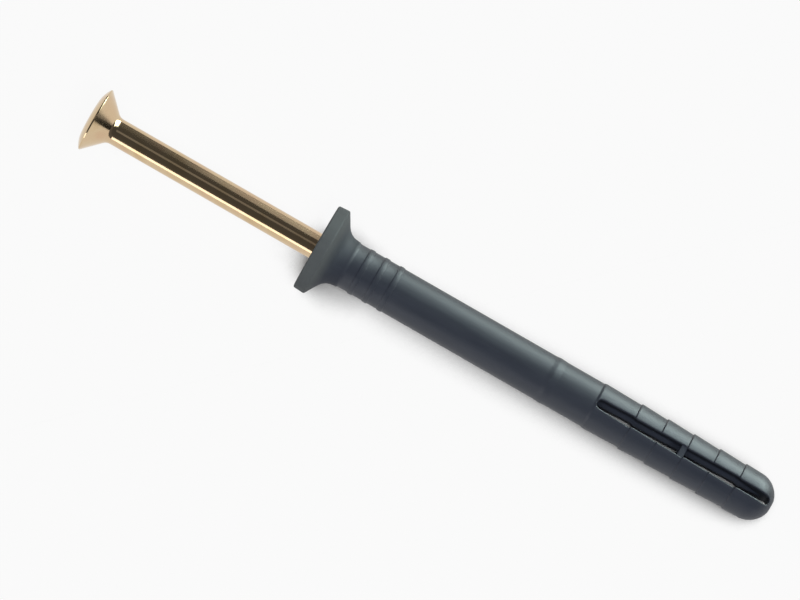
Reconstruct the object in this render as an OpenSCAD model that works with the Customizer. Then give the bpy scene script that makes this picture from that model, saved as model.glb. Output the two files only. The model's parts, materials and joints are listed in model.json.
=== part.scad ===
// Hammer fixing plug: a flanged nylon plug with a slotted expansion end, and the
// drive nail that comes pre-assembled in it. All sizes are in millimetres.

/* [Plug body] */
// Length of the plug from the collar's outer face to the nose
plug_length = 80; // [70:1:140]
// Diameter of the plain plug body
body_d = 7.44; // [7:0.02:7.8]
// Length of the domed nose
nose_length = 3.3; // [2.6:0.1:4.4]
// Diameter of the flat on the tip of the nose
nose_tip_d = 2.1; // [1:0.1:3]

/* [Collar] */
// Diameter of the collar
collar_d = 14.4; // [13:0.1:18]
// Thickness of the collar's rim
rim_thickness = 2.05; // [1.4:0.05:2.6]
// Draft of the rim, on the radius: it is narrower at the collar's outer face
rim_draft = 0.1; // [0:0.02:0.2]
// Rounding of the rim's two edges
rim_round = 0.3; // [0.1:0.05:0.5]
// Length from the collar's outer face to the end of the flare's fillet
collar_length = 5.3; // [4.7:0.05:6.5]
// Radius of the fillet at the foot of the flare
flare_round = 2.5; // [1.5:0.1:3]
// Height of the flare's foot above the body
foot_rise = 0.16; // [0.1:0.01:0.2]
// Length of the foot beyond the fillet, with its taper
foot_length = 0.65; // [0.5:0.05:0.9]
// Length of the foot's taper down to the body
foot_taper = 0.4; // [0.2:0.05:0.5]

/* [Grip rings] */
// Number of raised rings behind the collar
ring_count = 3; // [1:1:6]
// Distance from the collar's outer face to the first ring
ring_setback = 7.5; // [7.2:0.1:10]
// Distance from one ring to the next
ring_pitch = 2.58; // [2:0.02:4]
// Width of a ring, with its flanks
ring_width = 0.95; // [0.8:0.05:1.6]
// Height of a ring's edges above the body
ring_rise = 0.1; // [0.06:0.01:0.16]
// Height of a ring's crowned top above its edges
ring_crown = 0.03; // [0.01:0.01:0.06]
// Length of a ring's sloping flank
ring_flank = 0.1; // [0.05:0.05:0.3]

/* [Expansion zone] */
// Length of the expansion zone, from its shoulder to the nose
zone_length = 31; // [27:0.5:40]
// Height of the shoulder where the zone starts
shoulder_rise = 0.14; // [0.08:0.01:0.2]
// Number of saw-tooth barbs
barb_count = 5; // [3:1:5]
// Distance from one barb to the next
barb_pitch = 4.58; // [4:0.02:5]
// Distance from the crest of the last barb to the nose
barb_setback = 6.35; // [5.5:0.05:8]
// Height of a barb above the body
barb_rise = 0.2; // [0.1:0.01:0.22]
// Length of the steep face of a barb
barb_face = 0.15; // [0.1:0.05:0.6]
// Distance from the small locating bead to the zone's shoulder
bead_setback = 7.85; // [5:0.05:14]
// Height of the locating bead
bead_rise = 0.1; // [0.05:0.01:0.2]
// Length of the bead's taper
bead_length = 1.1; // [0.6:0.1:2]

/* [Slot] */
// Width of the slot at its narrow places
slot_width = 1.4; // [1:0.05:1.8]
// Widening of each slot wall along one wave
slot_wave = 0.18; // [0:0.02:0.3]
// Length of the step where a wave closes in again
wave_step = 0.7; // [0.4:0.1:1.2]
// Thickness of the tip that closes the slot
slot_tip_wall = 0.7; // [0.5:0.05:1.2]
// Length of the break-away web across the slot
web_length = 1.05; // [0.6:0.05:2]
// Depth of the web's face below the body
web_inset = 0.35; // [0:0.05:0.6]

/* [Drive nail] */
// Diameter of the plain shank
nail_d = 4.3; // [3.8:0.05:4.6]
// Step from the shank down to the threaded front, on the radius
front_step = 0.15; // [0.05:0.05:0.4]
// Length of the taper between shank and front
front_taper = 1; // [0.5:0.1:3]
// Distance that the nail stands out of the collar before it is driven
nail_out = 38.9; // [32:0.1:45]
// Length of the point
point_length = 4; // [2:0.1:6]
// Diameter of the blunt end of the point
point_end_d = 0.8; // [0.4:0.1:1.4]

/* [Nail head] */
// Diameter of the countersunk head
head_d = 10.4; // [9:0.1:11.4]
// Thickness of the head's straight rim
head_rim = 0.2; // [0.1:0.05:0.4]
// Height of the crown above the rim
crown_height = 0.85; // [0.4:0.05:1.2]
// Diameter of the flat on top of the crown
crown_flat_d = 5.2; // [3:0.1:6]
// Fillet between head and shank
neck_round = 1.4; // [0.4:0.1:1.6]
// Diameter of the cross recess at the top
recess_d = 5; // [3.6:0.1:6]
// Diameter of the cross recess at the bottom
recess_end_d = 2; // [1.4:0.1:2.6]
// Width of the recess's wings
recess_wing = 1.1; // [0.8:0.05:1.4]
// Depth of the recess
recess_depth = 2.8; // [1.8:0.1:3.2]

/* [Clearances] */
// Clearance round the nail in the plug's bore, on the radius
bore_clearance = 0.06; // [0.03:0.01:0.12]
// Clearance round the head in the collar's countersink, on the radius
seat_clearance = 0.1; // [0.06:0.01:0.2]
// Room left in front of the driven nail's point
point_clearance = 0.4; // [0.2:0.1:1]
// Room left in front of the driven nail's taper
taper_clearance = 0.3; // [0.1:0.1:1]
// Thickness of the nose in front of the bore
nose_wall = 1.6; // [1.2:0.1:2.4]

/* [Hidden] */
$fn = 96;

// Steps along each rounded stretch of an outline
arc_steps = 8;
// How far a cut runs past the surface it opens
overcut = 1;

body_r = body_d / 2;
collar_r = collar_d / 2;
foot_r = body_r + foot_rise;
ring_r = body_r + ring_rise;
nail_r = nail_d / 2;
front_r = nail_r - front_step;
head_r = head_d / 2;
bore_r = nail_r + bore_clearance;
front_bore_r = front_r + bore_clearance;

// Places along the plug, from the collar's outer face
zone_z = plug_length - zone_length;
bead_z = zone_z - bead_setback;
barbs_z = [for (i = [barb_count - 1 : -1 : 0]) plug_length - barb_setback - i * barb_pitch];
nose_z = plug_length - nose_length;
bore_end_z = plug_length - nose_wall;
slot_end_z = plug_length - slot_tip_wall;

// Places along the nail, from the top of the head's rim
neck_z = head_rim + head_r - nail_r;
nail_length = bore_end_z - point_clearance;
taper_z = zone_z - front_taper - taper_clearance;

// Points on an arc in the plane of (place along the axis, radius)
function arc(centre, radius, from, to) =
    [for (i = [0 : arc_steps])
        let (a = from + (to - from) * i / arc_steps)
        centre + radius * [cos(a), sin(a)]];

// Fillet where a cone of 45 degrees would meet a cylinder at place z
function neck(z, r, round) = arc([z + round * tan(22.5), r + round], round, 225, 270);

// Rim and flare of the collar: two rounded edges, a cone and a fillet, each tangent to the next
rim_front = [rim_round, collar_r - rim_draft - rim_round];
rim_back = [rim_thickness - rim_round, collar_r - rim_round];
flare_centre = [collar_length, foot_r + flare_round];
flare_run = flare_centre - rim_back;
flare_normal = atan2(flare_run[1], flare_run[0]) + acos((rim_round + flare_round) / norm(flare_run));
collar_outline = concat(
    arc(rim_front, rim_round, 180, 90),
    arc(rim_back, rim_round, 90, flare_normal),
    arc(flare_centre, flare_round, flare_normal + 180, 270));

// Foot of the flare
foot_z = collar_length + foot_length;
foot_outline = [[foot_z - foot_taper, foot_r], [foot_z, body_r]];

// Raised rings with crowned tops
rings_outline = [
    for (i = [0 : ring_count - 1])
        let (z = ring_setback + i * ring_pitch)
        each [
            [z, body_r],
            [z + ring_flank, ring_r],
            [z + ring_width / 2, ring_r + ring_crown],
            [z + ring_width - ring_flank, ring_r],
            [z + ring_width, body_r]]];

// Locating bead, shoulder and saw-tooth barbs: steep towards the collar, tapering to the nose
function tooth(z, rise) = [[z - barb_face, body_r], [z, body_r + rise]];
teeth_outline = concat(
    tooth(bead_z, bead_rise),
    [[bead_z + bead_length, body_r]],
    tooth(zone_z, shoulder_rise),
    [for (z = barbs_z) each tooth(z, barb_rise)]);

// Dome of the nose: an arc round a point on the axis, from the last barb to the flat tip
nose_r = body_r + barb_rise / 2;
nose_tip_r = nose_tip_d / 2;
nose_depth = (pow(nose_r, 2) - pow(nose_tip_r, 2) + pow(nose_length, 2)) / (2 * nose_length);
nose_centre = [plug_length - nose_depth, 0];
nose_outline = arc(
    nose_centre,
    norm([nose_depth, nose_tip_r]),
    atan2(nose_r, nose_z - nose_centre[0]),
    atan2(nose_tip_r, nose_depth));

sleeve_outline = concat(
    [[0, 0]],
    collar_outline,
    foot_outline,
    rings_outline,
    teeth_outline,
    nose_outline,
    [[plug_length, 0]]);

// Bore: a countersink for the head, a clear length for the shank, a narrower one in the
// expansion zone and a blind end shaped to the point
seat_r = head_r + seat_clearance;
bore_outline = concat(
    [[-overcut, 0], [-overcut, seat_r], [head_rim, seat_r]],
    neck(head_rim + seat_r - bore_r, bore_r, neck_round - bore_clearance),
    [[zone_z - front_taper, bore_r],
     [zone_z, front_bore_r],
     [bore_end_z - point_length, front_bore_r],
     [bore_end_z, point_end_d / 2 + bore_clearance],
     [bore_end_z, 0]]);

// Nail: crown, rim, countersunk cone, neck fillet, shank, front and point
crown_flat_r = crown_flat_d / 2;
crown_run = head_r - crown_flat_r;
crown_round = (pow(crown_run, 2) + pow(crown_height, 2)) / (2 * crown_height);
nail_outline = concat(
    [[-crown_height, 0]],
    arc([crown_round - crown_height, crown_flat_r], crown_round, 180, 180 - asin(crown_run / crown_round)),
    [[head_rim, head_r]],
    neck(neck_z, nail_r, neck_round),
    [[taper_z, nail_r],
     [taper_z + front_taper, front_r],
     [nail_length - point_length, front_r],
     [nail_length, point_end_d / 2],
     [nail_length, 0]]);

// Lying at rest: the plug tips about the rim of its collar until the slot's lips meet the floor
slot_r = slot_width / 2;
function lip_r(p) = p[0] > zone_z ? sqrt(max(0, pow(p[1], 2) - pow(slot_r, 2))) : p[1];
rest_outline = [for (p = sleeve_outline) [p[0], lip_r(p)]];
rest_z = rim_back[0];
lie = min([for (p = rest_outline) if (p[0] > collar_length) atan2(collar_r - p[1], p[0] - rest_z)]);
axis_height = max([for (p = rest_outline) p[0] * sin(lie) + p[1] * cos(lie)]);
whole_outline = concat(sleeve_outline, [for (p = nail_outline) p - [nail_out, 0]]);
reach_nose = max([for (p = whole_outline) p[0] * cos(lie) + p[1] * sin(lie)]);
reach_head = min([for (p = whole_outline) p[0] * cos(lie) - p[1] * sin(lie)]);

// Solid of revolution round +Z from points of (place along the axis, radius)
module turned(outline) {
    rotate_extrude()
        polygon([for (p = outline) [p[1], p[0]]]);
}

// Places what was made along +Z on the floor, with its upper side at local -X
module lay() {
    translate([-(reach_nose + reach_head) / 2, 0, axis_height])
        rotate([0, 90 + lie, 0])
            children();
}

// One wall of the slot: it closes in at every second barb and opens out towards the nose
waves_z = [for (i = [0 : 2 : barb_count - 1]) barbs_z[i]];
slot_wall = concat(
    arc([zone_z + slot_r, 0], slot_r, 180, 90),
    [for (z = waves_z) each [[z - wave_step / 2, slot_r + slot_wave], [z + wave_step / 2, slot_r]]],
    arc([slot_end_z - slot_r, 0], slot_r, 90, 0));

// Through slot, as a prism across the plug
module slot_prism() {
    mirrored_wall = [for (i = [len(slot_wall) - 2 : -1 : 1]) [slot_wall[i][0], -slot_wall[i][1]]];
    rotate([0, -90, 0])
        linear_extrude(height = collar_d, center = true)
            polygon(concat(slot_wall, mirrored_wall));
}

// Block that keeps the web out of the slot, just behind the middle barb
module web_keeper() {
    across = body_d - 2 * web_inset;
    web_z = barbs_z[floor(barb_count / 2)] - web_length;
    translate([-across / 2, -across / 2, web_z])
        cube([across, across, web_length]);
}

// Nylon plug: flanged collar, ringed neck, plain body and slotted, barbed expansion end
module plug_sleeve() {
    color("#4f565b")
        lay()
            difference() {
                turned(sleeve_outline);
                turned(bore_outline);
                difference() {
                    slot_prism();
                    web_keeper();
                }
            }
}

// Cross recess: two bars trimmed to a cone
module cross_recess() {
    translate([0, 0, -crown_height])
        intersection() {
            union() {
                for (turn = [0, 90])
                    rotate([0, 0, turn])
                        translate([-recess_d / 2, -recess_wing / 2, -overcut])
                            cube([recess_d, recess_wing, recess_depth + overcut]);
            }
            translate([0, 0, -overcut])
                cylinder(
                    d1 = recess_d + (recess_d - recess_end_d) * overcut / recess_depth,
                    d2 = recess_end_d,
                    h = recess_depth + overcut);
        }
}

// Steel drive nail, standing out of the plug as delivered
module drive_nail() {
    color("#b08d4a")
        lay()
            translate([0, 0, -nail_out])
                difference() {
                    turned(nail_outline);
                    rotate([0, 0, 45])
                        cross_recess();
                }
}

plug_sleeve();
drive_nail();
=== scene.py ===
import json
import math

import bmesh
import bpy
import numpy as np
from mathutils import Matrix, Vector


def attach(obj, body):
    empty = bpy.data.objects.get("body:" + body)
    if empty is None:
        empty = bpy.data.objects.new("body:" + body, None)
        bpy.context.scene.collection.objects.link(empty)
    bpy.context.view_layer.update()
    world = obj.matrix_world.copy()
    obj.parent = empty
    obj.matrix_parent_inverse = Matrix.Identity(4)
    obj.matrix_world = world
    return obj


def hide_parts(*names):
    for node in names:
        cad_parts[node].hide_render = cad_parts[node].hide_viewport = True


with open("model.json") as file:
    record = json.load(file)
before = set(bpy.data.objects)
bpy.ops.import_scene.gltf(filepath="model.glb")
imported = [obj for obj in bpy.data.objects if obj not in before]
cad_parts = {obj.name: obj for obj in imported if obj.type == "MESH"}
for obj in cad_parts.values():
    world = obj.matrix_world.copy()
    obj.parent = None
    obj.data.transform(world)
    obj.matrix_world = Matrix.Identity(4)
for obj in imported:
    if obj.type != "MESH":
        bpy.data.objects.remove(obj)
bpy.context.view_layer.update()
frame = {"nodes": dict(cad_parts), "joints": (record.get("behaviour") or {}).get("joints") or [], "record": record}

# Sizes are in millimetres, and MM turns them into metres. Places along the plug are counted from
# its collar's face, and places along the nail from the rim of its head
MM = 0.001

# The plug's own directions: along its axis to the nose, to its left and up
axis = Vector(frame["joints"][0]["axis"]).normalized()
left = Vector((0, 1, 0))
up = axis.cross(left)
on_axis = Vector(frame["record"]["mounts"][0]["pos_m"])


def start_of(node):
    """Point on the axis where a CAD node starts."""
    first = min(axis.dot(v.co) for v in frame["nodes"][node].data.vertices)
    return on_axis + axis * (first - axis.dot(on_axis))


collar_face = start_of("plug_sleeve")
nail_top = start_of("drive_nail")

# Collar, flare and foot
RIM_FRONT_R = 7.1
RIM_BACK_R = 7.211
RIM_ROUND = 0.3
FLARE_TOP_Z = 1.915
FLARE_FOOT_Z = 3.867
FLARE_ROUND = 2.5
FOOT_R = 3.88
FOOT_Z = 5.95
FOOT_TAPER = 0.4
FOOT_ROUND = 0.5
FOOT_END_ROUND = 0.3

# Body with its rings and bead
PLUG_LENGTH = 80
BODY_R = 3.72
RING_FIRST_Z = 7.5
RING_PITCH = 2.58
RING_COUNT = 3
RING_WIDTH = 0.95
RING_FLANK = 0.1
RING_R = 3.82
RING_CROWN_R = 3.85
RING_FOOT_ROUND = 0.05
RING_EDGE_ROUND = 0.06
RING_CROWN_ROUND = 2
BEAD_Z = 41.15
BEAD_R = 3.82
BEAD_LENGTH = 1.1
BEAD_FACE = 0.8
BEAD_ROUND = 2
BEAD_END_ROUND = 1

# Expansion end with its shoulder, barbs and nose
ZONE_Z = 49
SHOULDER_R = 3.86
SHOULDER_FACE = 0.35
SHOULDER_ROUND = 0.2
BARB_FIRST_Z = 55.33
BARB_PITCH = 4.58
BARB_COUNT = 5
BARBS_Z = [BARB_FIRST_Z + BARB_PITCH * k for k in range(BARB_COUNT)]
BARB_R = 3.92
TOOTH_FACE = 0.15
TOOTH_ROUND = 0.06
CREST_EXTRA_ROUND = 0.04
NOSE_Z = 76.7
NOSE_R = 3.82
NOSE_TIP_R = 1.05
NOSE_TIP_ROUND = 0.25

# Slot and the web across it
SLOT_R = 0.7
SLOT_WAVE = 0.18
WAVE_STEP = 0.7
WAVE_ROUND = 0.5
SLOT_END_Z = 79.3
LIP = 0.24
LIP_SHARE = 0.3
WEB_LENGTH = 1.05
WEB_TOP = 3.37
WEB_ROUND = 0.15

# Centres of the slot's round ends
slot_first = ZONE_Z + SLOT_R
slot_last = SLOT_END_Z - SLOT_R

# Bore with the seat of the nail's head
SEAT_R = 5.3
SEAT_RIM = 0.2
SEAT_ROUND = 0.1
BORE_R = 2.21
BORE_NECK_ROUND = 1.34
BORE_TAPER = 1
FRONT_BORE_R = 2.06
BORE_POINT_Z = 74.4
BORE_END_Z = 78.4
BORE_END_R = 0.46

# Nail
CROWN_HEIGHT = 0.85
CROWN_FLAT_R = 2.6
HEAD_R = 5.2
HEAD_RIM = 0.2
HEAD_TOP_ROUND = 0.06
HEAD_RIM_ROUND = 0.08
NECK_ROUND = 1.4
SHANK_R = 2.15
FRONT_Z = 47.7
FRONT_TAPER = 1
FRONT_R = 2
FRONT_ROUND = 0.5
NAIL_LENGTH = 78
POINT_LENGTH = 4
POINT_R = 0.4
POINT_START_ROUND = 1
POINT_ROUND = 0.15
THREAD_START = 49.5
THREAD_END = 73.8
THREAD_PITCH = 1.8
THREAD_DEPTH = 0.32
THREAD_RAMP = 0.75
RECESS_R = 2.5
RECESS_END_R = 1
RECESS_WING = 0.55
RECESS_DEPTH = 2.8
RECESS_OVER = 1
EDGE_WIDTH = 0.05

# Fineness of the meshes
ROUND_STEPS = 4
NOSE_STEPS = 24
LIP_STEPS = 5
LIP_END_STEPS = 4
SLOT_END_STEPS = 8
SLOT_ROW_STEP = 1.0
ARC_STEPS = 60
WALL_STEPS = 4
NAIL_COLUMNS = 72
NAIL_ROUND_STEPS = 8
CROWN_STEPS = 9
THREAD_STEPS = 12
EDGE_STEPS = 2
SAME_POINT = 2e-4
SHARP_ANGLE = math.radians(40)


def rounded(corners, steps=ROUND_STEPS):
    """Outline through corners of (place, radius) or (place, radius, rounding of the corner)."""
    outline = []
    for i, corner in enumerate(corners):
        here = Vector(corner[:2])
        if len(corner) < 3:
            outline.append(here)
            continue
        back = (Vector(corners[i - 1][:2]) - here).normalized()
        ahead = (Vector(corners[i + 1][:2]) - here).normalized()
        half = back.angle(ahead) / 2
        middle = here + (back + ahead).normalized() * corner[2] / math.sin(half)
        arm = here + back * corner[2] / math.tan(half) - middle
        turn = math.copysign(math.pi - 2 * half, ahead.cross(back))
        for k in range(steps + 1):
            outline.append(middle + Matrix.Rotation(turn * k / steps, 2) @ arm)
    return outline


def at(outline, z):
    """Radius or half width of an outline at a place along the axis."""
    return float(np.interp(z, [p[0] for p in outline], [p[1] for p in outline]))


def eased(reach, steps):
    """Distances from 0 to a reach, close together at first."""
    return [reach * (1 - math.cos(math.pi / 2 * k / steps)) for k in range(steps + 1)]


def build(name, start, points, faces):
    """Object from points of (left, up, along the axis) counted from a start on the axis."""
    mesh = bpy.data.meshes.new(name)
    places = [start + (left * x + up * y + axis * z) * MM for x, y, z in points]
    mesh.from_pydata(places, [], faces)
    bm = bmesh.new()
    bm.from_mesh(mesh)
    bmesh.ops.remove_doubles(bm, verts=bm.verts, dist=SAME_POINT * MM)
    bmesh.ops.dissolve_degenerate(bm, edges=bm.edges, dist=SAME_POINT * MM)
    bmesh.ops.recalc_face_normals(bm, faces=bm.faces)
    bm.to_mesh(mesh)
    bm.free()
    piece = bpy.data.objects.new(name, mesh)
    bpy.context.scene.collection.objects.link(piece)
    return piece


def sheet(points, faces, rows):
    """Adds a sheet of faces over rows that all have the same number of points."""
    first = len(points)
    across = len(rows[0])
    for row in rows:
        points.extend(row)
    for i in range(len(rows) - 1):
        for j in range(across - 1):
            a = first + i * across + j
            faces.append((a, a + 1, a + across + 1, a + across))


def smooth(piece):
    """Smooth shading that keeps flat faces flat and sharp edges sharp."""
    piece.data.shade_smooth()
    piece.data.set_sharp_from_angle(angle=SHARP_ANGLE)
    weighted = piece.modifiers.new("normals", "WEIGHTED_NORMAL")
    weighted.keep_sharp = True


# Outlines of the sleeve
def ring(z):
    """Corners of a raised ring with a crowned top."""
    end = z + RING_WIDTH
    return [(z, BODY_R, RING_FOOT_ROUND), (z + RING_FLANK, RING_R, RING_EDGE_ROUND),
            (z + RING_WIDTH / 2, RING_CROWN_R, RING_CROWN_ROUND),
            (end - RING_FLANK, RING_R, RING_EDGE_ROUND), (end, BODY_R, RING_FOOT_ROUND)]


def tooth(z, crest, face=TOOTH_FACE, foot_round=TOOTH_ROUND):
    """Corners of a saw tooth's steep face, from the body up to its crest."""
    return [(z - face, BODY_R, foot_round), (z, crest, foot_round + CREST_EXTRA_ROUND)]


def nose_arc():
    """Round part of the nose, about a centre on the axis, up to the edge of its flat tip."""
    reach = PLUG_LENGTH ** 2 + NOSE_TIP_R ** 2 - NOSE_Z ** 2 - NOSE_R ** 2
    centre = reach / (2 * (PLUG_LENGTH - NOSE_Z))
    r = math.hypot(PLUG_LENGTH - centre, NOSE_TIP_R)
    first = math.atan2(NOSE_R, NOSE_Z - centre)
    last = math.atan2(NOSE_TIP_R, PLUG_LENGTH - centre)
    turns = np.linspace(first, last, NOSE_STEPS + 1)[:-1]
    return [(centre + r * math.cos(a), r * math.sin(a)) for a in turns]


def outer_outline():
    """Outside of the sleeve, from the rim of its seat to the nose."""
    corners = [(SEAT_RIM, SEAT_R), (0, SEAT_R, SEAT_ROUND), (0, RIM_FRONT_R, RIM_ROUND),
               (FLARE_TOP_Z, RIM_BACK_R, RIM_ROUND), (FLARE_FOOT_Z, FOOT_R, FLARE_ROUND),
               (FOOT_Z - FOOT_TAPER, FOOT_R, FOOT_ROUND), (FOOT_Z, BODY_R, FOOT_END_ROUND)]
    for k in range(RING_COUNT):
        corners += ring(RING_FIRST_Z + k * RING_PITCH)
    corners += tooth(BEAD_Z, BEAD_R, BEAD_FACE, BEAD_ROUND)
    corners.append((BEAD_Z + BEAD_LENGTH, BODY_R, BEAD_END_ROUND))
    corners += tooth(ZONE_Z, SHOULDER_R, SHOULDER_FACE, SHOULDER_ROUND)
    for z in BARBS_Z:
        corners += tooth(z, BARB_R)
    corners += nose_arc()
    corners += [(PLUG_LENGTH, NOSE_TIP_R, NOSE_TIP_ROUND), (PLUG_LENGTH, 0)]
    return rounded(corners)[1:]


def bore_outline():
    """Inside of the sleeve, from its countersunk seat to its blind end."""
    neck_z = SEAT_RIM + SEAT_R - BORE_R
    return rounded([(SEAT_RIM, SEAT_R), (neck_z, BORE_R, BORE_NECK_ROUND),
                    (ZONE_Z - BORE_TAPER, BORE_R), (ZONE_Z, FRONT_BORE_R),
                    (BORE_POINT_Z, FRONT_BORE_R), (BORE_END_Z, BORE_END_R), (SLOT_END_Z, 0)])


def slot_outline():
    """Half width of the slot, which opens out towards every second barb and closes in there."""
    corners = [(slot_first, SLOT_R)]
    for z in BARBS_Z[::2]:
        corners.append((z - WAVE_STEP / 2, SLOT_R + SLOT_WAVE, WAVE_ROUND))
        corners.append((z + WAVE_STEP / 2, SLOT_R, WAVE_ROUND))
    return rounded(corners + [(slot_last, SLOT_R)])


outer = outer_outline()
bore = bore_outline()
slot_wall = slot_outline()


# Sleeve
def half_width(z):
    """Half of the slot's width at a place along the axis."""
    beyond = max(slot_first - z, z - slot_last)
    if beyond > 0:
        return math.sqrt(max(0, SLOT_R ** 2 - beyond ** 2))
    return at(slot_wall, z)


def lip_drop(z, x, lip):
    """How far the rounded lip lies under the outer outline, by the distance from the slot."""
    beyond = max(slot_first - z, z - slot_last, 0)
    off = math.hypot(beyond, x) - SLOT_R if beyond else x - half_width(z)
    off = min(max(off, 0), lip)
    return lip - math.sqrt(lip ** 2 - (lip - off) ** 2)


def outer_row(z, r):
    """Outer surface of the left leg at one place, from its upper lip to its lower lip."""
    lip = min(LIP, LIP_SHARE * r)
    w = half_width(z)
    edge = []
    for step in eased(lip, LIP_STEPS)[:-1]:
        x = w + step
        edge.append((x, math.sqrt(max(0, r ** 2 - x ** 2)) - lip_drop(z, x, lip), z))
    opening = math.acos((w + lip) / r) if r else 0
    turns = np.linspace(opening, -opening, ARC_STEPS + 1)
    arc = [(r * math.cos(a), r * math.sin(a), z) for a in turns]
    return edge + arc + [(x, -y, z) for x, y, z in reversed(edge)]


def bore_row(z, r):
    """The left leg's share of the bore at one place, with as many points as an outer row."""
    w = half_width(z)
    r = max(r, w)
    opening = math.acos(w / r) if r else 0
    turns = np.linspace(opening, -opening, ARC_STEPS + 2 * LIP_STEPS + 1)
    return [(r * math.cos(a), r * math.sin(a), z) for a in turns]


def slot_places(over):
    """Places along the slot that get a row of points, close together at its ends."""
    in_lip = eased(LIP, LIP_END_STEPS)
    in_end = eased(SLOT_R, SLOT_END_STEPS)
    marks = [ZONE_Z - d for d in in_lip] + [ZONE_Z + d for d in in_end]
    marks += [SLOT_END_Z + d for d in in_lip] + [SLOT_END_Z - d for d in in_end]
    marks += [p[0] for p in slot_wall + over] + [BORE_POINT_Z, BORE_END_Z]
    marks += list(np.arange(ZONE_Z + SLOT_ROW_STEP, SLOT_END_Z, SLOT_ROW_STEP))
    return sorted(set(round(z, 3) for z in marks))


def web_rows(flip):
    """Left half of the web across the slot, above (flip 1) or below the bore (flip -1)."""
    end = BARBS_Z[BARB_COUNT // 2]
    start = end - WEB_LENGTH
    brim = rounded([(start, FRONT_BORE_R), (start, WEB_TOP, WEB_ROUND),
                    (end, WEB_TOP, WEB_ROUND), (end, FRONT_BORE_R)])
    brim = [(p[1] * flip, p[0]) for p in brim]
    brim.append(brim[0])
    depth = SLOT_R + SLOT_WAVE + LIP
    rows = [[(x, y, z) for y, z in brim] for x in (0, depth)]
    rows.append([(depth, FRONT_BORE_R * flip, (start + end) / 2)] * len(brim))
    return rows


def make_sleeve():
    """Two legs joined at both ends of the slot, each a shell, a share of the bore and two walls."""
    before = [p for p in outer if p[0] <= ZONE_Z - LIP]
    over = [p for p in outer if ZONE_Z - LIP < p[0] < SLOT_END_Z + LIP]
    after = [p for p in outer if p[0] >= SLOT_END_Z + LIP]
    span = before[-1:] + over + after[:1]
    over_slot = {z: outer_row(z, at(span, z)) for z in slot_places(over)}
    in_slot = {z: bore_row(z, at(bore, z)) for z in over_slot if ZONE_Z <= z <= SLOT_END_Z}

    shell = [bore_row(ZONE_Z, FRONT_BORE_R)]
    shell += [bore_row(*p) for p in reversed(bore) if p[0] < ZONE_Z]
    shell += [outer_row(*p) for p in before]
    shell += over_slot.values()
    shell += [outer_row(*p) for p in after]
    walls = []
    for z in in_slot:
        top = Vector(over_slot[z][0])
        foot = Vector(in_slot[z][0])
        walls.append([tuple(top.lerp(foot, k / WALL_STEPS)) for k in range(WALL_STEPS + 1)])
    low_walls = [[(x, -y, z) for x, y, z in row] for row in walls]

    points, faces = [], []
    for rows in (shell, list(in_slot.values()), walls, low_walls, web_rows(1), web_rows(-1)):
        sheet(points, faces, rows)
    count = len(points)
    points += [(-x, y, z) for x, y, z in points]
    faces += [tuple(count + k for k in face) for face in faces]
    return build("sleeve", collar_face, points, faces)


# Nail
def crown_arc():
    """Domed top of the nail's head, from its flat to its rim."""
    run = HEAD_R - CROWN_FLAT_R
    r = (run ** 2 + CROWN_HEIGHT ** 2) / (2 * CROWN_HEIGHT)
    turns = np.linspace(0, math.asin(run / r), CROWN_STEPS + 1)[:-1]
    return [(r * (1 - math.cos(a)) - CROWN_HEIGHT, CROWN_FLAT_R + r * math.sin(a)) for a in turns]


def nail_outline():
    """Outline of the nail from its crown to its point, with rows for the thread."""
    neck_z = HEAD_RIM + HEAD_R - SHANK_R
    corners = [(-CROWN_HEIGHT, 0)] + crown_arc()
    corners += [(0, HEAD_R, HEAD_TOP_ROUND), (HEAD_RIM, HEAD_R, HEAD_RIM_ROUND),
                (neck_z, SHANK_R, NECK_ROUND), (FRONT_Z, SHANK_R, FRONT_ROUND),
                (FRONT_Z + FRONT_TAPER, FRONT_R, FRONT_ROUND), (THREAD_START, FRONT_R)]
    thread_rows = round((THREAD_END - THREAD_START) / THREAD_PITCH * THREAD_STEPS)
    thread = np.linspace(THREAD_START, THREAD_END, thread_rows)[1:]
    point = [(THREAD_END, FRONT_R), (NAIL_LENGTH - POINT_LENGTH, FRONT_R, POINT_START_ROUND),
             (NAIL_LENGTH, POINT_R, POINT_ROUND), (NAIL_LENGTH, 0)]
    outline = rounded(corners, NAIL_ROUND_STEPS)
    outline += [Vector((z, FRONT_R)) for z in thread]
    return outline + rounded(point)[1:]


def thread_cut(z, angle):
    """Depth of the right-handed thread's groove, which runs out at both ends."""
    phase = (z / THREAD_PITCH - angle / (2 * math.pi)) % 1
    share = phase / THREAD_RAMP if phase < THREAD_RAMP else (1 - phase) / (1 - THREAD_RAMP)
    fade = min(1, (z - THREAD_START) / THREAD_PITCH, (THREAD_END - z) / THREAD_PITCH)
    return THREAD_DEPTH * share * max(0, fade)


def make_cutter(rim):
    """Cross that tapers inwards, for the recess in the crown."""
    taper = (RECESS_R - RECESS_END_R) / RECESS_DEPTH
    levels = [(-CROWN_HEIGHT - RECESS_OVER, RECESS_R + taper * RECESS_OVER),
              (RECESS_DEPTH - CROWN_HEIGHT, RECESS_END_R)]
    rows = []
    for z, reach in levels:
        wing = [(reach, -RECESS_WING), (reach, RECESS_WING), (RECESS_WING, RECESS_WING)]
        corners = []
        for quarter in range(4):
            a = math.pi / 4 + quarter * math.pi / 2
            for x, y in wing:
                corners.append((x * math.cos(a) - y * math.sin(a),
                                x * math.sin(a) + y * math.cos(a), z))
        rows.append(corners + corners[:1])
    points, faces = [], []
    sheet(points, faces, rows)
    count = len(rows[0])
    faces += [tuple(range(count - 1)), tuple(range(count, 2 * count - 1))]
    return build("cutter", rim, points, faces)


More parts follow.
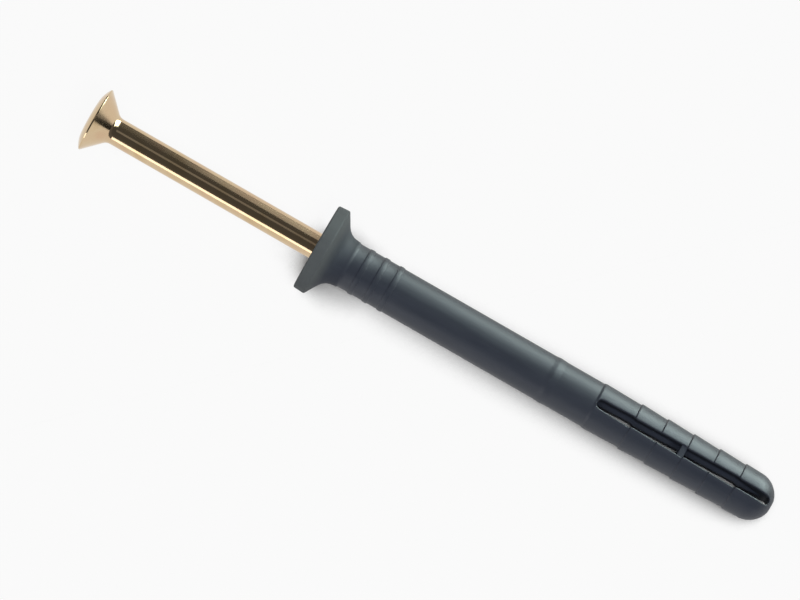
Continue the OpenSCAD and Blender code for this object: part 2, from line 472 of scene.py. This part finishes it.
def make_nail():
    """Turned nail with a threaded front and a cross recess in its crown."""
    turns = [2 * math.pi * (k % NAIL_COLUMNS) / NAIL_COLUMNS for k in range(NAIL_COLUMNS + 1)]
    rows = []
    for z, r in nail_outline():
        row = []
        for a in turns:
            cut = r - thread_cut(z, a)
            row.append((cut * math.cos(a), cut * math.sin(a), z))
        rows.append(row)
    points, faces = [], []
    sheet(points, faces, rows)
    rim = nail_top + axis * CROWN_HEIGHT * MM
    nail = build("nail", rim, points, faces)
    cutter = make_cutter(rim)
    recess = nail.modifiers.new("recess", "BOOLEAN")
    recess.object = cutter
    recess.solver = "EXACT"
    evaluated = nail.evaluated_get(bpy.context.evaluated_depsgraph_get())
    nail.data = bpy.data.meshes.new_from_object(evaluated)
    nail.modifiers.clear()
    bpy.data.objects.remove(cutter)
    return nail


# Nylon: the collar's tint and dullness pass into the body's between places along the plug
BODY_DARK = (0.026, 0.032, 0.047)
BODY_PALE = (0.036, 0.043, 0.060)
BODY_ROUGHNESS = (0.45, 0.57)
COLLAR_DARK = (0.084, 0.095, 0.101)
COLLAR_PALE = (0.100, 0.112, 0.117)
COLLAR_ROUGHNESS = (0.7, 0.85)
DARK_AT = 0.3
PALE_AT = 0.7
TINT_FROM = 2
TINT_TO = 3.6
DULL_FROM = 5.3
DULL_TO = 6.2
STREAK_STRETCH = 8
STREAK_SCALE = 700
STREAK_BUMP = 0.1
STREAK_HEIGHT = 0.1
GRAIN_SCALE = 9000
GRAIN_BUMP = 0.12
GRAIN_HEIGHT = 0.03

# Zinc
ZINC_TINTS = [(0.3, (0.59, 0.43, 0.25)), (0.5, (0.64, 0.49, 0.31)), (0.7, (0.62, 0.44, 0.28))]
ZINC_ROUGHNESS = (0.08, 0.15)
DRIFT_SCALE = 260
DRAWN_STRETCH = 50
DRAWN_SCALE = 2600
DRAWN_BUMP = 0.02
DRAWN_HEIGHT = 0.02


def material(name):
    """New material with its nodes, links and shader."""
    made = bpy.data.materials.new(name)
    made.use_nodes = True
    nodes = made.node_tree.nodes
    return made, nodes, made.node_tree.links, nodes["Principled BSDF"]


def own_coordinates(nodes, links, stretch=1):
    """Coordinates of the piece itself, with X along the plug's axis and stretched there."""
    place = nodes.new("ShaderNodeTexCoord")
    turned = nodes.new("ShaderNodeMapping")
    turned.vector_type = "TEXTURE"
    turned.inputs["Rotation"].default_value = (0, math.atan2(-axis.z, axis.x), 0)
    turned.inputs["Scale"].default_value = (stretch, 1, 1)
    links.new(place.outputs["Object"], turned.inputs["Vector"])
    return turned.outputs["Vector"]


def noise(nodes, links, vector, scale, detail):
    """Noise texture over a vector."""
    made = nodes.new("ShaderNodeTexNoise")
    made.inputs["Scale"].default_value = scale
    made.inputs["Detail"].default_value = detail
    links.new(vector, made.inputs["Vector"])
    return made.outputs["Fac"]


def ramp(nodes, links, value, stops):
    """Colour ramp from (position, colour) stops."""
    made = nodes.new("ShaderNodeValToRGB")
    elements = made.color_ramp.elements
    while len(elements) < len(stops):
        elements.new(0.5)
    for element, (position, colour) in zip(elements, stops):
        element.position = position
        element.color = (*colour, 1)
    links.new(value, made.inputs["Fac"])
    return made.outputs["Color"]


def spread(nodes, links, value, low, high):
    """Value from 0 to 1 spread from low to high."""
    made = nodes.new("ShaderNodeMapRange")
    made.inputs["To Min"].default_value = low
    made.inputs["To Max"].default_value = high
    links.new(value, made.inputs["Value"])
    return made.outputs["Result"]


def rise(nodes, links, along, first, last):
    """Share that rises from 0 to 1 between two places along the plug's axis."""
    made = nodes.new("ShaderNodeMapRange")
    made.interpolation_type = "SMOOTHSTEP"
    made.inputs["From Min"].default_value = axis.dot(collar_face) + first * MM
    made.inputs["From Max"].default_value = axis.dot(collar_face) + last * MM
    links.new(along, made.inputs["Value"])
    return made.outputs["Result"]


def bump(nodes, links, height, strength, distance, normal=None):
    """Normal with a bump of a height texture, on another normal where one is given."""
    made = nodes.new("ShaderNodeBump")
    made.inputs["Strength"].default_value = strength
    made.inputs["Distance"].default_value = distance * MM
    links.new(height, made.inputs["Height"])
    if normal:
        links.new(normal, made.inputs["Normal"])
    return made.outputs["Normal"]


def combined(nodes, links, operation, first, second):
    """Two values put together by a math operation."""
    made = nodes.new("ShaderNodeMath")
    made.operation = operation
    links.new(first, made.inputs[0])
    links.new(second, made.inputs[1])
    return made.outputs["Value"]


def make_nylon():
    """Moulded grey nylon with faint flow streaks, a fine grain and a paler, duller collar."""
    made, nodes, links, shader = material("nylon")
    place = nodes.new("ShaderNodeTexCoord")
    along = nodes.new("ShaderNodeVectorMath")
    along.operation = "DOT_PRODUCT"
    along.inputs[1].default_value = axis
    links.new(place.outputs["Object"], along.inputs[0])
    streaked = own_coordinates(nodes, links, STREAK_STRETCH)
    streaks = noise(nodes, links, streaked, STREAK_SCALE, detail=4)
    grain = noise(nodes, links, own_coordinates(nodes, links), GRAIN_SCALE, detail=2)

    collar_tint = ramp(nodes, links, streaks, [(DARK_AT, COLLAR_DARK), (PALE_AT, COLLAR_PALE)])
    body_tint = ramp(nodes, links, streaks, [(DARK_AT, BODY_DARK), (PALE_AT, BODY_PALE)])
    tint = nodes.new("ShaderNodeMix")
    tint.data_type = "RGBA"
    links.new(rise(nodes, links, along.outputs["Value"], TINT_FROM, TINT_TO), tint.inputs["Factor"])
    links.new(collar_tint, tint.inputs["A"])
    links.new(body_tint, tint.inputs["B"])
    links.new(tint.outputs["Result"], shader.inputs["Base Color"])

    dull = nodes.new("ShaderNodeMix")
    links.new(rise(nodes, links, along.outputs["Value"], DULL_FROM, DULL_TO), dull.inputs["Factor"])
    links.new(spread(nodes, links, streaks, *COLLAR_ROUGHNESS), dull.inputs["A"])
    links.new(spread(nodes, links, streaks, *BODY_ROUGHNESS), dull.inputs["B"])
    links.new(dull.outputs["Result"], shader.inputs["Roughness"])

    fine = bump(nodes, links, grain, GRAIN_BUMP, GRAIN_HEIGHT)
    normal = bump(nodes, links, streaks, STREAK_BUMP, STREAK_HEIGHT, fine)
    links.new(normal, shader.inputs["Normal"])
    return made


def make_zinc():
    """Yellow passivated zinc: hue drifts a little, with drawn lines along the shank."""
    made, nodes, links, shader = material("yellow_zinc")
    drawn = own_coordinates(nodes, links, DRAWN_STRETCH)
    lines = noise(nodes, links, drawn, DRAWN_SCALE, detail=3)
    drift = noise(nodes, links, own_coordinates(nodes, links), DRIFT_SCALE, detail=3)
    links.new(ramp(nodes, links, drift, ZINC_TINTS), shader.inputs["Base Color"])
    shader.inputs["Metallic"].default_value = 1
    links.new(spread(nodes, links, lines, *ZINC_ROUGHNESS), shader.inputs["Roughness"])
    normal = bump(nodes, links, lines, DRAWN_BUMP, DRAWN_HEIGHT)
    links.new(normal, shader.inputs["Normal"])
    return made


# Pieces
sleeve = make_sleeve()
smooth(sleeve)
sleeve.data.materials.append(make_nylon())
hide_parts("plug_sleeve")
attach(sleeve, "plug")

nail = make_nail()
edges = nail.modifiers.new("edges", "BEVEL")
edges.width = EDGE_WIDTH * MM
edges.segments = EDGE_STEPS
edges.limit_method = "ANGLE"
edges.angle_limit = SHARP_ANGLE
smooth(nail)
nail.data.materials.append(make_zinc())
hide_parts("drive_nail")
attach(nail, "nail")

# Floor: white paper that keeps a light shadow where the plug covers it, partly real shade on the grey paper and
# partly painted shadow where ambient occlusion dims its white glow
FLOOR_SIZE = 8000
FLOOR_DROP = 0.01
PAPER_GREY = (0.5, 0.5, 0.5)
PAPER_WHITE = 0.93
COVER_REACH = 8
COVERED = 0.45
UNCOVERED = 0.7


def make_paper():
    """Grey paper that camera, glossy and transmission rays see as white in the open, with a painted shadow where
    ambient occlusion dims that white under the plug.
    """
    made, nodes, links, shader = material("paper")
    nodes.remove(shader)
    diffuse = nodes.new("ShaderNodeBsdfDiffuse")
    diffuse.inputs["Color"].default_value = (*PAPER_GREY, 1)
    glow = nodes.new("ShaderNodeEmission")
    rays = nodes.new("ShaderNodeLightPath").outputs
    seen = combined(nodes, links, "MAXIMUM", rays["Is Camera Ray"], rays["Is Glossy Ray"])
    seen = combined(nodes, links, "MAXIMUM", seen, rays["Is Transmission Ray"])
    # Painted shadow: ambient occlusion dims the white glow where the plug covers the paper
    cover = nodes.new("ShaderNodeAmbientOcclusion")
    cover.inputs["Distance"].default_value = COVER_REACH * MM
    clear = nodes.new("ShaderNodeMapRange")
    clear.inputs["From Min"].default_value = COVERED
    clear.inputs["From Max"].default_value = UNCOVERED
    clear.inputs["To Max"].default_value = PAPER_WHITE
    links.new(cover.outputs["AO"], clear.inputs["Value"])
    white = combined(nodes, links, "MULTIPLY", seen, clear.outputs["Result"])
    blend = nodes.new("ShaderNodeMixShader")
    links.new(white, blend.inputs["Fac"])
    links.new(diffuse.outputs[0], blend.inputs[1])
    links.new(glow.outputs[0], blend.inputs[2])
    links.new(blend.outputs[0], nodes["Material Output"].inputs["Surface"])
    return made


bpy.ops.mesh.primitive_plane_add(size=FLOOR_SIZE * MM, location=(0, 0, -FLOOR_DROP * MM))
floor = bpy.context.object
floor.name = "floor"
floor.data.materials.append(make_paper())

# Middle of the view, which the lamps face and the camera aims beside
VIEW_MIDDLE_Z = 15.215
middle = collar_face + axis * VIEW_MIDDLE_Z * MM

# Soft studio light, in metres: a long lamp overhead that gloss doesn't show, and panels that it
# does. A key and a haze stand on the left towards the nose, with a dim glint for the nail, a strip
# lies low on the right and a narrow panel overhead towards the head
WHITE = (1, 1, 1)
COOL = (0.84, 1, 0.95)


def softbox(name, lean_deg, swing_deg, far, length, breadth, radiance, colour=WHITE, shown_by="all"):
    """Area lamp that leans from overhead to the plug's left and swings to its nose."""
    lean = math.radians(lean_deg)
    swing = math.radians(swing_deg)
    across = up * math.cos(lean) + left * math.sin(lean)
    away = across * math.cos(swing) + axis * math.sin(swing)
    longways = axis * math.cos(swing) - across * math.sin(swing)
    lamp = bpy.data.lights.new(name, "AREA")
    lamp.color = colour
    lamp.shape = "RECTANGLE"
    lamp.size = length
    lamp.size_y = breadth
    lamp.energy = radiance * math.pi * length * breadth
    made = bpy.data.objects.new(name, lamp)
    turned = Matrix((longways, away.cross(longways), away)).transposed()
    made.matrix_world = Matrix.LocRotScale(middle + away * far, turned, None)
    made.visible_diffuse = shown_by != "gloss"
    made.visible_glossy = shown_by != "diffuse"
    bpy.context.scene.collection.objects.link(made)


softbox("key", lean_deg=83, swing_deg=25, far=0.45, length=0.36, breadth=0.36, radiance=15,
        colour=COOL, shown_by="gloss")
softbox("haze", lean_deg=46, swing_deg=29, far=0.9, length=0.8, breadth=0.5, radiance=4,
        colour=COOL, shown_by="gloss")
softbox("glint", lean_deg=64, swing_deg=6, far=0.45, length=0.2, breadth=0.42, radiance=0.36,
        shown_by="gloss")
softbox("strip", lean_deg=-79, swing_deg=-20, far=0.45, length=0.36, breadth=0.17, radiance=2.2,
        shown_by="gloss")
softbox("overhead", lean_deg=-4.5, swing_deg=-22, far=0.8, length=0.6, breadth=0.22, radiance=0.18)
softbox("top", lean_deg=-14, swing_deg=6, far=1.2, length=0.8, breadth=0.3, radiance=13.9,
        shown_by="diffuse")

# World: grey that dims from the horizon to overhead
WORLD_GREYS = [(0, 0.13), (0.35, 0.13), (0.62, 0.085), (1, 0.078)]
world = bpy.data.worlds.new("studio")
bpy.context.scene.world = world
world.use_nodes = True
nodes = world.node_tree.nodes
links = world.node_tree.links
direction = nodes.new("ShaderNodeTexCoord")
split = nodes.new("ShaderNodeSeparateXYZ")
links.new(direction.outputs["Generated"], split.inputs[0])
sky = ramp(nodes, links, split.outputs["Z"], [(height, (grey,) * 3) for height, grey in WORLD_GREYS])
links.new(sky, nodes["Background"].inputs["Color"])

# Camera: nearly overhead, with the plug running from the upper left to the lower right
IMAGE_TURN = math.radians(29.8587)
ROLL = math.radians(11.5)
VIEW_WIDTH = 122.2
VIEW_SHIFT = 0.749
LENS = 300
SENSOR = 36
toward = up * math.cos(ROLL) - left * math.sin(ROLL)
over = left * math.cos(ROLL) + up * math.sin(ROLL)
right_in_view = axis * math.cos(IMAGE_TURN) + over * math.sin(IMAGE_TURN)
up_in_view = over * math.cos(IMAGE_TURN) - axis * math.sin(IMAGE_TURN)
lens = bpy.data.cameras.new("camera")
lens.lens = LENS
lens.sensor_width = SENSOR
camera = bpy.data.objects.new("camera", lens)
aim = middle - over * VIEW_SHIFT * MM
camera.matrix_world = Matrix.LocRotScale(
    aim + toward * VIEW_WIDTH * MM * LENS / SENSOR,
    Matrix((right_in_view, up_in_view, toward)).transposed(), None)
bpy.context.scene.collection.objects.link(camera)
bpy.context.scene.camera = camera
bpy.context.scene.view_settings.view_transform = "Standard"
